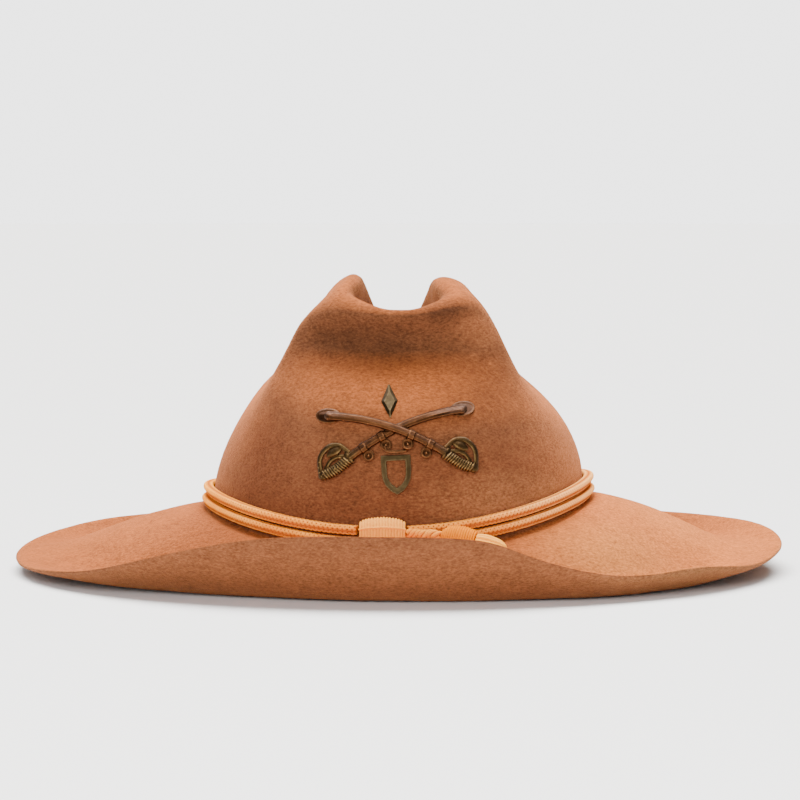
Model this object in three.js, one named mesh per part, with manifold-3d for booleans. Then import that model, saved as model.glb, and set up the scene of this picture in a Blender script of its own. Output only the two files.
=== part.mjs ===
// Campaign hat: creased felt crown with a rolled brim, a two-strand hat cord with slide and acorns,
// and a cast badge of crossed sabres. Millimetres, +Z up, the front of the hat faces -Y, +X is its right
// side as seen from the front. The hat stands on the underside of its brim.
import * as THREE from "three";
import { ParametricGeometry } from "three/addons/geometries/ParametricGeometry.js";
import { mergeVertices } from "three/addons/utils/BufferGeometryUtils.js";
import Module from "manifold-3d";

// Felt
const FELT_THICKNESS = 2.4;
const FELT_SEGMENTS = 56;
const FRONT_CROWDING = 0.3;

// Crown, from the middle of the crease outwards and down: one row per closed ring of the felt.
// z and reach are given at the front, the side and the back; square flattens the front of the plan shape
// (2 is an ellipse), flare pushes out the two folds that bound the front panel, tuck is the depth of the
// hollow behind each fold, lean moves the ring to the right and tip raises its right side.
// rows is the number of facet rows from the ring before.
const CROWN_COLUMNS = [
  "rows", "zFront", "zSide", "zBack", "front", "side", "back", "square", "flare", "tuck", "lean", "tip",
];
const CROWN_RINGS = [
  [2, 93, 91, 87, 36, 9, 40, 2, 0.2, 0, 0, 0],
  [1, 103, 109, 95, 46, 16.6, 48, 2.2, 0.35, 0, 0, 0],
  [2, 115, 129.2, 103, 54, 15, 54, 2.6, 0.52, 0, 0, -0.4],
  [2, 119, 132.8, 106, 60, 20.8, 60, 2.8, 0.38, 0, 0.4, -0.6],
  [2, 115.5, 126, 104, 63.5, 31.5, 65, 2.6, 0.29, 0, 0.3, 1.2],
  [2, 107, 111, 99, 57.5, 40, 71, 2.5, 0.34, 4, -0.4, 0],
  [1, 98, 97.5, 93, 60, 47, 77, 2.4, 0.3, 7.5, -0.5, 0],
  [1, 87.5, 86, 84, 71.5, 59.5, 85, 2.3, 0.11, 3.5, -1.2, 0],
  [1, 75, 72, 71, 86, 70.8, 92, 2.15, 0.03, 1, 1.5, 0],
  [1, 58, 57, 55, 94.5, 78.9, 97, 2, 0, 0, 1.9, 0],
  [1, 38, 43, 37, 99, 83, 100, 2, 0, 0, 0.8, 1],
  [2, 16.5, 29.6, 21, 101, 85, 101, 2, 0, 0, 0.5, 2.3],
].map((row) => Object.fromEntries(CROWN_COLUMNS.map((column, i) => [column, row[i]])));
const CREASE_MIDDLE = new THREE.Vector3(0, 2, 88);
const FOLD_ANGLE = 50;
const FOLD_SPREAD = 20.5;
const TUCK_ANGLE = 80;
const TUCK_SPREAD = 17;
const RIGHT_TUCK_SHARE = 0.45;

// Brim: one row per direction, angle in degrees from the front towards the right.
// low is the distance of the brim's lowest stretch, dip the height of its underside there (zero where it
// lies on the table), reach the distance of the cut edge and lift the height of that edge.
const BRIM_SECTIONS = [
  { angle: -160, low: 146, dip: 0, reach: 176, lift: 12.8 },
  { angle: -130, low: 150, dip: 1.5, reach: 174.5, lift: 13.2 },
  { angle: -105, low: 154, dip: 7, reach: 173, lift: 9.9 },
  { angle: -85, low: 155, dip: 8.5, reach: 172.3, lift: 7.4 },
  { angle: -65, low: 149, dip: 2.5, reach: 173, lift: 7.2 },
  { angle: -48, low: 139, dip: 0, reach: 173.5, lift: 10.9 },
  { angle: -34, low: 137, dip: 0, reach: 173.5, lift: 19.6 },
  { angle: -20, low: 138, dip: 0, reach: 174, lift: 27.4 },
  { angle: -5, low: 141, dip: 0, reach: 174, lift: 29.2 },
  { angle: 12, low: 143, dip: 0, reach: 174, lift: 27.2 },
  { angle: 20, low: 144, dip: 0, reach: 174, lift: 19 },
  { angle: 32, low: 148, dip: 0, reach: 174, lift: 11.6 },
  { angle: 48, low: 149, dip: 0, reach: 173.5, lift: 12.2 },
  { angle: 62, low: 149, dip: 2, reach: 173, lift: 9.6 },
  { angle: 78, low: 153, dip: 8, reach: 173, lift: 12 },
  { angle: 104, low: 153, dip: 9.5, reach: 173.5, lift: 16 },
  { angle: 130, low: 148, dip: 3, reach: 174.5, lift: 15.2 },
  { angle: 160, low: 146, dip: 0, reach: 176, lift: 13.4 },
];
const BRIM_BREAK = 7;
const SIDE_BREAK_DROP = -1.2;
const FRONT_BREAK_DROP = 1;
const SIDE_BOW = 0.4;
const FRONT_BOW = 0.38;
const LOW_BAND = 8;
const PRESS = 0.3;
const BRIM_ROWS = [3, 2, 2, 1, 2, 1];

// Hat cord
const CORD_RADIUS = 2.5;
const CORD_SIDES = 8;
const CORD_STEPS = 56;
const CORD_GAP = 0.35;
const CORD_END_SLANT = 0.6;
const LOWER_CORD_RISE = 4;
const UPPER_CORD_RISE = 9.5;

// Slide, the barrel through which both strands pass
const SLIDE_X = -6.3;
const SLIDE_LENGTH = 20;
const SLIDE_HEIGHT = 14.8;
const SLIDE_DEPTH = 11;
const SLIDE_END = 0.7;
const SLIDE_RISE = 7.8;
const SLIDE_SIDES = 14;

// Tails and acorns: one row per end of the cord. tail lists the places its line passes, in the slide's
// own frame, and aim is the direction in which the acorn lies.
const TAIL_RADIUS = 2;
const TAIL_STEPS = 6;
const ACORN_SIDES = 12;
const ACORN_CAP_LENGTH = 15;
const ACORN_CAP_RADIUS = 6;
const ACORN_NUT_LENGTH = 13;
const ACORN_NUT_RADIUS = 4.4;
const ACORNS = [
  {
    name: "upper",
    tail: [[0, -2.4, 1], [3, -2.6, 1], [8, -4.2, 0.8], [14.4, -7.4, 0.4]],
    aim: [1, -0.2, -0.2],
  },
  {
    name: "lower",
    tail: [[0, -2, -3.5], [3, -2.6, -3.6], [6.5, -9.5, -4.6], [11.5, -19, -6.6]],
    aim: [1, -0.05, -0.15],
  },
];

// Badge, laid out flat about the point where the sabres cross: right, and up, in millimetres
const BADGE_X = 0.3;
const BADGE_Z = 69.5;
const BADGE_TILT = 3;
const BADGE_GAP = 0.6;
const SCABBARD_WIDTH = 3.4;
const SCABBARD_DEPTH = 2.2;
const SCABBARD_STEPS = 8;
const SCABBARD_GUARD = [-21.5, -12];
const SCABBARD_BEND = [2.9, 4.9];
const SCABBARD_TIP = [31, 6.3];
const UPPER_SABRE_LIFT = 1.3;
const DRAG_LENGTH = 6.4;
const DRAG_WIDTH = 4.8;
const DRAG_DEPTH = 1.76;
const BAND_PLACES = [0.128, 0.29];
const BAND_HALF_SPAN = 0.022;
const BAND_EXTRA = 0.9;
const RING_RADIUS = 1.55;
const RING_WIRE = 0.6;
const RING_DROP = 3.3;
const GRIP_LINE = [[-21.8, -12.6], [-28.5, -17.2], [-34, -19.8]];
const GRIP_WIDTH = 4.2;
const GRIP_DEPTH = 2.6;
const GUARD_WIDTH = 6;
const GUARD_DEPTH = 3;
const GUARD_OVERHANG = 0.8;
const BOW_WIRE = 0.75;
const BOW_LINE = [[-22, -9.8], [-26.5, -6.8], [-32, -7.4], [-35.6, -12], [-34.8, -19]];
const BRANCH_LINE = [[-22.4, -11.4], [-27.5, -10], [-31.4, -12.8], [-33.4, -18.6]];
const POMMEL_RADIUS = 2;
const POMMEL_FLATNESS = 0.7;
const BRACKET_LINE = [[-5.4, -7.4], [-3.8, -9.7], [3.8, -9.7], [5.4, -7.4]];

// Plain castings above and below the crossing
const LOZENGE_X = -3;
const LOZENGE_RISE = 11;
const LOZENGE_WIDTH = 8.2;
const LOZENGE_HEIGHT = 14.2;
const LOZENGE_DEPTH = 1.8;
const LOZENGE_FACE_SHARE = 0.55;
const LOZENGE_TIP_SHARE = 0.08;
const LOZENGE_ROWS = 4;
const SHIELD_X = -1.6;
const SHIELD_TOP = -11.6;
const SHIELD_WIDTH = 12.8;
const SHIELD_HEIGHT = 16.8;
const SHIELD_FRAME = 2.3;
const SHIELD_DEPTH = 1.7;

const degrees = THREE.MathUtils.degToRad;
const blend = THREE.MathUtils.lerp;

// Smooth value of one brim column at any direction.
function brimValue(column, angle) {
  const count = BRIM_SECTIONS.length;
  const turn = THREE.MathUtils.radToDeg(angle);
  const first = BRIM_SECTIONS[0].angle;
  const wrapped = THREE.MathUtils.euclideanModulo(turn - first, 360) + first;
  let index = 0;
  while (index < count - 1 && BRIM_SECTIONS[index + 1].angle <= wrapped) {
    index += 1;
  }
  const row = (step) => {
    const place = index + step;
    const lap = Math.floor(place / count);
    const section = BRIM_SECTIONS[THREE.MathUtils.euclideanModulo(place, count)];
    return { at: section.angle + 360 * lap, value: section[column] };
  };
  const [before, start, end, after] = [row(-1), row(0), row(1), row(2)];
  const span = end.at - start.at;
  const t = (wrapped - start.at) / span;
  const startSlope = ((end.value - before.value) / (end.at - before.at)) * span;
  const endSlope = ((after.value - start.value) / (after.at - start.at)) * span;
  const rise = t * t * (3 - 2 * t);
  return blend(start.value, end.value, rise) + t * (1 - t) * ((1 - t) * startSlope - t * endSlope);
}

function signedPower(value, power) {
  return Math.sign(value) * Math.abs(value) ** power;
}

// Point of one crown ring in one direction.
function ringPoint(row, angle) {
  const sine = Math.sin(angle);
  const cosine = Math.cos(angle);
  const facesFront = cosine > 0;
  const power = facesFront ? 2 / row.square : 1;
  const turn = Math.abs(THREE.MathUtils.radToDeg(Math.atan2(sine, cosine)));
  const fold = Math.exp(-(((turn - FOLD_ANGLE) / FOLD_SPREAD) ** 2));
  const hollow = Math.exp(-(((turn - TUCK_ANGLE) / TUCK_SPREAD) ** 2)) * (sine > 0 ? RIGHT_TUCK_SHARE : 1);
  const along = signedPower(cosine, power);
  const flared = row.side * signedPower(sine, power) * (1 + row.flare * fold);
  const x = flared - Math.sign(sine) * row.tuck * hollow + row.lean;
  const y = -(facesFront ? row.front : row.back) * along;
  const z = blend(row.zSide, facesFront ? row.zFront : row.zBack, along * along) + row.tip * sine;
  return new THREE.Vector3(x, y, z);
}

// Stations of the brim in one direction, from the foot of the crown to the cut edge.
function brimPoints(angle) {
  const foot = ringPoint(CROWN_RINGS.at(-1), angle);
  const inner = Math.hypot(foot.x, foot.y);
  const low = brimValue("low", angle);
  const dip = Math.max(0, brimValue("dip", angle));
  const reach = brimValue("reach", angle);
  const lift = brimValue("lift", angle);
  const facing = Math.cos(angle) ** 2;
  const breakAt = inner + BRIM_BREAK;
  const lying = FELT_THICKNESS - PRESS;
  const breakLevel = foot.z - blend(SIDE_BREAK_DROP, FRONT_BREAK_DROP, facing);
  const bow = blend(SIDE_BOW, FRONT_BOW, facing);
  const landing = low - LOW_BAND / 2;
  const leaving = low + LOW_BAND / 2;
  const stations = [
    [breakAt, breakLevel],
    [blend(breakAt, landing, 0.5), blend(breakLevel, lying + dip, bow)],
    [landing, lying + dip],
    [leaving, lying + 0.9 * dip],
    [blend(leaving, reach, 0.55), blend(lying + 0.9 * dip, lift, 0.42)],
    [reach, lift],
  ];
  const outward = new THREE.Vector3(Math.sin(angle), -Math.cos(angle), 0);
  return stations.map(([distance, height]) => outward.clone().multiplyScalar(distance).setZ(height));
}

const meridians = new Map();

// Curve down the outer face of the felt in one direction, from the crease to the cut edge.
function meridian(angle) {
  const key = angle.toFixed(6);
  if (!meridians.has(key)) {
    const crown = CROWN_RINGS.map((row) => ringPoint(row, angle));
    meridians.set(key, new THREE.CatmullRomCurve3([CREASE_MIDDLE, ...crown, ...brimPoints(angle)]));
  }
  return meridians.get(key);
}

// Outward normal of the felt, from two short steps on its face.
function feltNormal(angle, t) {
  if (t === 0) {
    return new THREE.Vector3(0, 0, 1);
  }
  const turn = degrees(0.6);
  const step = 0.003;
  const around = meridian(angle + turn).getPoint(t).sub(meridian(angle - turn).getPoint(t));
  const curve = meridian(angle);
  const down = curve.getPoint(Math.min(1, t + step)).sub(curve.getPoint(Math.max(0, t - step)));
  return down.cross(around).normalize();
}

// Places of the facet rows along a meridian, closest together where the felt bends most.
const SPAN_ROWS = [...CROWN_RINGS.map((row) => row.rows), ...BRIM_ROWS];
const FACET_ROWS = [0];
SPAN_ROWS.forEach((rows, span) => {
  for (let i = 1; i <= rows; i += 1) {
    FACET_ROWS.push((span + i / rows) / SPAN_ROWS.length);
  }
});
const LAST_ROW = FACET_ROWS.length - 1;

// One closed wall: the outer face from the crease to the edge, then the inner face back again.
// The underside of the brim is pressed flat where it lies on the table.
function feltPoint(u, v, target) {
  const turn = -2 * Math.PI * (u === 1 ? 0 : u);
  const angle = turn - FRONT_CROWDING * Math.sin(turn);
  const row = Math.round(v * (2 * LAST_ROW + 1));
  const onOuterFace = row <= LAST_ROW;
  const t = FACET_ROWS[onOuterFace ? row : 2 * LAST_ROW + 1 - row];
  target.copy(meridian(angle).getPoint(t));
  if (!onOuterFace) {
    target.addScaledVector(feltNormal(angle, t), -FELT_THICKNESS);
    target.z = Math.max(0, target.z);
  }
}

// Joins equal corners and drops the empty triangles at the poles.
function tidy(geometry) {
  geometry.deleteAttribute("uv");
  geometry.deleteAttribute("normal");
  const merged = mergeVertices(geometry, 1e-4);
  const index = merged.getIndex();
  const kept = [];
  for (let i = 0; i < index.count; i += 3) {
    const corners = [index.getX(i), index.getX(i + 1), index.getX(i + 2)];
    if (new Set(corners).size === 3) {
      kept.push(...corners);
    }
  }
  merged.setIndex(kept);
  return merged;
}

const feltGeometry = tidy(new ParametricGeometry(feltPoint, FELT_SEGMENTS, 2 * LAST_ROW + 1));

// A bar with a many-sided section swept along a curve.
function sweep(curve, steps, sectionPoints) {
  const section = new THREE.Shape(sectionPoints);
  return tidy(new THREE.ExtrudeGeometry(section, { extrudePath: curve, steps, bevelEnabled: false }));
}

function roundSection(radius, sides) {
  const corners = [];
  for (let i = 0; i < sides; i += 1) {
    const turn = (2 * Math.PI * i) / sides;
    corners.push(new THREE.Vector2(radius * Math.cos(turn), radius * Math.sin(turn)));
  }
  return corners;
}

// Point beside the crown wall, a given rise above the foot of the crown, then moved clear of the felt.
const FOOT_SPAN = CROWN_RINGS.length;

function besideWall(angle, rise, radius) {
  const spans = SPAN_ROWS.length;
  const curve = meridian(angle);
  const level = curve.getPoint(FOOT_SPAN / spans).z + rise;
  let low = (FOOT_SPAN - 3) / spans;
  let high = FOOT_SPAN / spans;
  for (let i = 0; i < 30; i += 1) {
    const middle = (low + high) / 2;
    if (curve.getPoint(middle).z > level) {
      low = middle;
    } else {
      high = middle;
    }
  }
  const clear = radius + CORD_GAP;
  const place = curve.getPoint(low).addScaledVector(feltNormal(angle, low), clear);
  for (let pass = 0; pass < 4; pass += 1) {
    for (const t of FACET_ROWS.filter((at) => Math.abs(at * spans - FOOT_SPAN) <= 2)) {
      for (const [from, to] of [[t, t + 0.5 / spans], [t - 0.5 / spans, t]]) {
        const line = new THREE.Line3(curve.getPoint(from), curve.getPoint(to));
        const away = place.clone().sub(line.closestPointToPoint(place, true, new THREE.Vector3()));
        const missing = Math.max(0, clear - away.length());
        place.addScaledVector(away.normalize(), missing);
      }
    }
  }
  return place;
}

// Direction in which a line beside the front wall has a given x.
function frontAngle(x, rise, radius) {
  let low = -degrees(30);
  let high = degrees(30);
  for (let i = 0; i < 30; i += 1) {
    const middle = (low + high) / 2;
    if (besideWall(middle, rise, radius).x < x) {
      low = middle;
    } else {
      high = middle;
    }
  }
  return low;
}

// Strand round the crown, from one face of the slide to the other.
function strand(rise) {
  const clear = SLIDE_LENGTH / 2 + CORD_GAP + CORD_END_SLANT;
  const start = frontAngle(SLIDE_X + clear, rise, CORD_RADIUS);
  const end = 2 * Math.PI + frontAngle(SLIDE_X - clear, rise, CORD_RADIUS);
  const points = [];
  for (let i = 0; i <= CORD_STEPS; i += 1) {
    points.push(besideWall(blend(start, end, i / CORD_STEPS), rise, CORD_RADIUS));
  }
  return sweep(new THREE.CatmullRomCurve3(points), CORD_STEPS, roundSection(CORD_RADIUS, CORD_SIDES));
}

// Turned body along a line, from a profile of [distance along, radius].
function turned(from, towards, profile, sides) {
  const points = profile.map(([along, radius]) => new THREE.Vector2(radius, along));
  const geometry = new THREE.LatheGeometry(points, sides);
  const direction = towards.clone().sub(from).normalize();
  const turn = new THREE.Quaternion().setFromUnitVectors(new THREE.Vector3(0, 1, 0), direction);
  geometry.applyQuaternion(turn);
  geometry.translate(from.x, from.y, from.z);
  return tidy(geometry);
}

// The slide is a flattened barrel: turned, then pressed to its depth against the crown.
const slideAngle = frontAngle(SLIDE_X, SLIDE_RISE, SLIDE_DEPTH / 2);
const slideMiddle = besideWall(slideAngle, SLIDE_RISE, SLIDE_DEPTH / 2);

function slideGeometry() {
  const radius = SLIDE_HEIGHT / 2;
  const profile = [
    [0, 0],
    [0, SLIDE_END * radius],
    [SLIDE_LENGTH * 0.16, 0.9 * radius],
    [SLIDE_LENGTH * 0.5, radius],
    [SLIDE_LENGTH * 0.84, 0.9 * radius],
    [SLIDE_LENGTH, SLIDE_END * radius],
    [SLIDE_LENGTH, 0],
  ];
  const start = new THREE.Vector3(-SLIDE_LENGTH / 2, 0, 0);
  const barrel = turned(start, new THREE.Vector3(), profile, SLIDE_SIDES);
  barrel.scale(1, SLIDE_DEPTH / SLIDE_HEIGHT, 1);
  return barrel.translate(slideMiddle.x, slideMiddle.y, slideMiddle.z);
}

// The cord's two ends leave the slide's right face; each carries a capped acorn.
const slideFace = slideMiddle.clone().add(new THREE.Vector3(SLIDE_LENGTH / 2 + CORD_GAP, 0, 0));

function acornParts({ name, tail, aim }) {
  const line = tail.map((place) => slideFace.clone().add(new THREE.Vector3(...place)));
  const direction = new THREE.Vector3(...aim).normalize();
  const capStart = line.at(-1).clone().addScaledVector(direction, CORD_GAP);
  const capEnd = capStart.clone().addScaledVector(direction, ACORN_CAP_LENGTH);
  const nutStart = capEnd.clone().addScaledVector(direction, CORD_GAP);
  const nutEnd = nutStart.clone().addScaledVector(direction, ACORN_NUT_LENGTH);
  line.splice(-1, 0, line.at(-1).clone().addScaledVector(direction, -2 * TAIL_RADIUS));
  const capProfile = [
    [0, 0],
    [0, 0.4 * ACORN_CAP_RADIUS],
    [0.16 * ACORN_CAP_LENGTH, 0.76 * ACORN_CAP_RADIUS],
    [0.4 * ACORN_CAP_LENGTH, 0.97 * ACORN_CAP_RADIUS],
    [0.65 * ACORN_CAP_LENGTH, ACORN_CAP_RADIUS],
    [0.9 * ACORN_CAP_LENGTH, 0.92 * ACORN_CAP_RADIUS],
    [ACORN_CAP_LENGTH, 0.78 * ACORN_CAP_RADIUS],
    [ACORN_CAP_LENGTH, 0],
  ];
  const nutProfile = [
    [0, 0],
    [0, 0.9 * ACORN_NUT_RADIUS],
    [0.3 * ACORN_NUT_LENGTH, ACORN_NUT_RADIUS],
    [0.7 * ACORN_NUT_LENGTH, 0.82 * ACORN_NUT_RADIUS],
    [0.93 * ACORN_NUT_LENGTH, 0.45 * ACORN_NUT_RADIUS],
    [ACORN_NUT_LENGTH, 0],
  ];
  return {
    name,
    tail: sweep(new THREE.CatmullRomCurve3(line), TAIL_STEPS, roundSection(TAIL_RADIUS, CORD_SIDES)),
    cap: turned(capStart, capEnd, capProfile, ACORN_SIDES),
    nut: turned(nutStart, nutEnd, nutProfile, ACORN_SIDES),
  };
}

// Lays a flat casting on the front of the crown: turned by the badge's tilt, then each corner is moved
// until it stands as far off the felt as it stood off the flat.
const felt = new THREE.Mesh(feltGeometry);
const feeler = new THREE.Raycaster();

function layOnCrown(geometry) {
  const position = geometry.getAttribute("position");
  const corner = new THREE.Vector3();
  const tilt = new THREE.Quaternion().setFromAxisAngle(new THREE.Vector3(0, 1, 0), -degrees(BADGE_TILT));
  for (let i = 0; i < position.count; i += 1) {
    corner.fromBufferAttribute(position, i).applyQuaternion(tilt);
    const x = corner.x + BADGE_X;
    const z = corner.z + BADGE_Z;
    feeler.set(new THREE.Vector3(x, -300, z), new THREE.Vector3(0, 1, 0));
    const touch = feeler.intersectObject(felt)[0].point.y;
    position.setXYZ(i, x, touch - BADGE_GAP + corner.y, z);
  }
  return geometry;
}

// Flat places are given as [right, up]; side is 1 for the sabre whose hilt lies on the left, -1 for its
// mirror image, and stand is the distance off the felt.
const onFlat = ([right, upward], side, stand) => new THREE.Vector3(side * right, -stand, upward);

function flatLine(places, side, stand) {
  return new THREE.CatmullRomCurve3(places.map((place) => onFlat(place, side, stand)));
}

// Eight-sided bar section with softened corners: depth off the felt, then width.
const BAR_CORNERS = [[1, 0.5], [0.5, 1], [-0.5, 1], [-1, 0.5], [-1, -0.5], [-0.5, -1], [0.5, -1], [1, -0.5]];

function barSection(depth, width) {
  return BAR_CORNERS.map(([off, across]) => new THREE.Vector2((off * depth) / 2, (across * width) / 2));
}

const wasm = await Module();
wasm.setup();

function toSolid(geometry) {
  const position = geometry.getAttribute("position");
  const mesh = new wasm.Mesh({
    numProp: 3,
    vertProperties: Float32Array.from(position.array),
    triVerts: Uint32Array.from(geometry.getIndex().array),
  });
  return new wasm.Manifold(mesh);
}

function fuse(geometries) {
  const solid = geometries.map(toSolid).reduce((whole, piece) => whole.add(piece));
  const mesh = solid.getMesh();
  const geometry = new THREE.BufferGeometry();
  geometry.setAttribute("position", new THREE.BufferAttribute(Float32Array.from(mesh.vertProperties), 3));
  geometry.setIndex(Array.from(mesh.triVerts));
  return geometry;
}

// One sabre in its scabbard: drag plate at the tip, two ringed bands, and a hilt with a knuckle bow.
function sabreParts(side, lift) {
  const stand = SCABBARD_DEPTH / 2 + lift;
  const line = new THREE.QuadraticBezierCurve3(
    onFlat(SCABBARD_GUARD, side, stand),
    onFlat(SCABBARD_BEND, side, stand),
    onFlat(SCABBARD_TIP, side, stand),
  );
  const parts = [sweep(line, SCABBARD_STEPS, barSection(SCABBARD_DEPTH, SCABBARD_WIDTH))];

  const drag = new THREE.CylinderGeometry(DRAG_WIDTH / 2, DRAG_WIDTH / 2, DRAG_DEPTH, 12);
  drag.scale(DRAG_LENGTH / DRAG_WIDTH, 1, 1);
  const tip = line.getPoint(1);
  drag.translate(tip.x, tip.y, tip.z);
  parts.push(tidy(drag));

  for (const place of BAND_PLACES) {
    const bandStart = line.getPoint(place - BAND_HALF_SPAN);
    const band = new THREE.LineCurve3(bandStart, line.getPoint(place + BAND_HALF_SPAN));
    parts.push(sweep(band, 1, barSection(SCABBARD_DEPTH + BAND_EXTRA / 2, SCABBARD_WIDTH + BAND_EXTRA)));
    const along = line.getTangent(place);
    const ring = new THREE.TorusGeometry(RING_RADIUS, RING_WIRE, 5, 8);
    ring.rotateX(Math.PI / 2);
    const below = new THREE.Vector3(side * along.z, 0, -side * along.x);
    const centre = line.getPoint(place).addScaledVector(below, RING_DROP);
    ring.translate(centre.x, centre.y, centre.z);
    parts.push(tidy(ring));
  }

  const guardStart = line.getPoint(0).addScaledVector(line.getTangent(0), -GUARD_OVERHANG);
  const guardLine = new THREE.LineCurve3(guardStart, line.getPoint(BAND_HALF_SPAN));
  parts.push(sweep(guardLine, 1, barSection(GUARD_DEPTH, GUARD_WIDTH)));
  parts.push(sweep(flatLine(GRIP_LINE, side, stand), 4, barSection(GRIP_DEPTH, GRIP_WIDTH)));
  parts.push(sweep(flatLine(BOW_LINE, side, stand), 8, roundSection(BOW_WIRE, 5)));
  parts.push(sweep(flatLine(BRANCH_LINE, side, stand), 5, roundSection(BOW_WIRE, 5)));

  const pommel = new THREE.SphereGeometry(POMMEL_RADIUS, 8, 5);
  const pommelPlace = onFlat(GRIP_LINE.at(-1), side, stand);
  pommel.scale(1, POMMEL_FLATNESS, 1);
  pommel.translate(pommelPlace.x, pommelPlace.y, pommelPlace.z);
  parts.push(tidy(pommel));
  return parts;
}

function sabresGeometry() {
  const bracketLine = flatLine(BRACKET_LINE, 1, (SCABBARD_DEPTH + UPPER_SABRE_LIFT) / 2);
  const bracket = sweep(bracketLine, 6, roundSection(BOW_WIRE, 5));
  const parts = [...sabreParts(1, 0), ...sabreParts(-1, UPPER_SABRE_LIFT), bracket];
  return fuse(parts.map(layOnCrown));
}

// Lozenge with sloping sides: a box whose rows narrow towards both blunt tips, smaller at its face.
function lozengeGeometry() {
  const lozenge = new THREE.BoxGeometry(LOZENGE_WIDTH, LOZENGE_DEPTH, LOZENGE_HEIGHT, 2, 1, LOZENGE_ROWS);
  const position = lozenge.getAttribute("position");
  for (let i = 0; i < position.count; i += 1) {
    const share = position.getY(i) < 0 ? LOZENGE_FACE_SHARE : 1;
    const level = position.getZ(i) / (LOZENGE_HEIGHT / 2);
    const narrowing = blend(1, LOZENGE_TIP_SHARE, Math.abs(level));
    position.setX(i, position.getX(i) * narrowing * share);
    position.setZ(i, position.getZ(i) * share);
  }
  lozenge.translate(LOZENGE_X, -LOZENGE_DEPTH / 2, LOZENGE_RISE);
  return layOnCrown(tidy(lozenge));
}

// Outline of a shield with a flat top, drawn inside the frame's width by inset.
function shieldOutline(inset) {
  const half = SHIELD_WIDTH / 2 - inset;
  const top = SHIELD_TOP - inset;
  const foot = SHIELD_TOP - SHIELD_HEIGHT + inset * 1.25;
  const shoulder = blend(top, foot, 0.4);
  const points = [new THREE.Vector2(-half, top)];
  const left = new THREE.QuadraticBezierCurve(
    new THREE.Vector2(-half, shoulder),
    new THREE.Vector2(-half, blend(shoulder, foot, 0.7)),
    new THREE.Vector2(0, foot),
  );
  points.push(...left.getPoints(4));
  const mirrored = points.slice(0, -1).map((point) => new THREE.Vector2(-point.x, point.y));
  return [...points, ...mirrored.reverse()];
}

function shieldGeometry() {
  const outline = new THREE.Shape(shieldOutline(0));
  outline.holes.push(new THREE.Path(shieldOutline(SHIELD_FRAME)));
  const shield = new THREE.ExtrudeGeometry(outline, { depth: SHIELD_DEPTH, bevelEnabled: false });
  shield.rotateX(Math.PI / 2);
  shield.translate(SHIELD_X, 0, 0);
  return layOnCrown(tidy(shield));
}

const meshes = [];

function addPart(name, geometry, colour, roughness, metalness) {
  const material = new THREE.MeshStandardMaterial({ color: colour, roughness, metalness });
  const mesh = new THREE.Mesh(geometry, material);
  mesh.name = name;
  meshes.push(mesh);
}

addPart("felt_body", feltGeometry, 0xa0683f, 0.95, 0);
addPart("cord_lower", strand(LOWER_CORD_RISE), 0xc98c58, 0.85, 0);
addPart("cord_upper", strand(UPPER_CORD_RISE), 0xc98c58, 0.85, 0);
addPart("slide", slideGeometry(), 0xe3ab76, 0.8, 0);
for (const { name, tail, cap, nut } of ACORNS.map(acornParts)) {
  addPart(`tail_${name}`, tail, 0xe0a468, 0.85, 0);
  addPart(`acorn_cap_${name}`, cap, 0xe28f48, 0.8, 0);
  addPart(`acorn_nut_${name}`, nut, 0xe6b480, 0.85, 0);
}
addPart("sabres", sabresGeometry(), 0x6b4a32, 0.5, 0.8);
addPart("upper_ornament", lozengeGeometry(), 0x644529, 0.5, 0.8);
addPart("lower_ornament", shieldGeometry(), 0x644529, 0.5, 0.8);

const hat = new THREE.Group();
hat.name = "campaign_hat";
const bounds = new THREE.Box3();
for (const mesh of meshes) {
  bounds.expandByObject(mesh);
}
for (const mesh of meshes) {
  const middle = bounds.getCenter(new THREE.Vector3());
  mesh.geometry.translate(-middle.x, -middle.y, -bounds.min.z);
  mesh.geometry.computeVertexNormals();
  hat.add(mesh);
}

export default hat;
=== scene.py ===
# %% [markdown]
# A campaign hat of tan felt rests on its brim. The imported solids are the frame: they fix every size and
# place, so this file only gives each piece its finer form and its finish. Lengths are in metres.

import math

import bmesh
import bpy
from mathutils import Matrix, Vector
from mathutils.bvhtree import BVHTree
from mathutils.kdtree import KDTree


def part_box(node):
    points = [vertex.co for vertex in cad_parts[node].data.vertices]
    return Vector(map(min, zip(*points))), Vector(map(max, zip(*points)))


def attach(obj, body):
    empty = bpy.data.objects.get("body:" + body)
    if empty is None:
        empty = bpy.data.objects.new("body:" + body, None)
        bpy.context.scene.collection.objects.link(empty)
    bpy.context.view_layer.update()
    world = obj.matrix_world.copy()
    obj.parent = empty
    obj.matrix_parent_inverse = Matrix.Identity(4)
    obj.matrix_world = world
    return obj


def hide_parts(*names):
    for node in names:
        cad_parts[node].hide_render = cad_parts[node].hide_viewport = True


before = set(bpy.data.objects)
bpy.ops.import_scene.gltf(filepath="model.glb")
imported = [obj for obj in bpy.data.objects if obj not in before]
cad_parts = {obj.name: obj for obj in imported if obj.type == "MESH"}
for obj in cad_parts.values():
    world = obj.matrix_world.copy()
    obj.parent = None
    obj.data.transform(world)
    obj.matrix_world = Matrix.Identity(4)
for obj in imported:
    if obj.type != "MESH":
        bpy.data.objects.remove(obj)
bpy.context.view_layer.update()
MM = 0.001

# %% [markdown]
# The picture was taken with a long lens from just above the brim. A camera 1.7 m away, tilted down a few
# degrees, shows the crown almost level and the brim a little from above, as in the photograph.

# %% Camera
PHOTO_WIDTH = 800
PIXELS_PER_METRE = 2200
CAMERA_DISTANCE = 1.7
CAMERA_TILT = math.radians(3.3)
AIM = Vector((0.0005, 0.0, 0.076))

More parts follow.
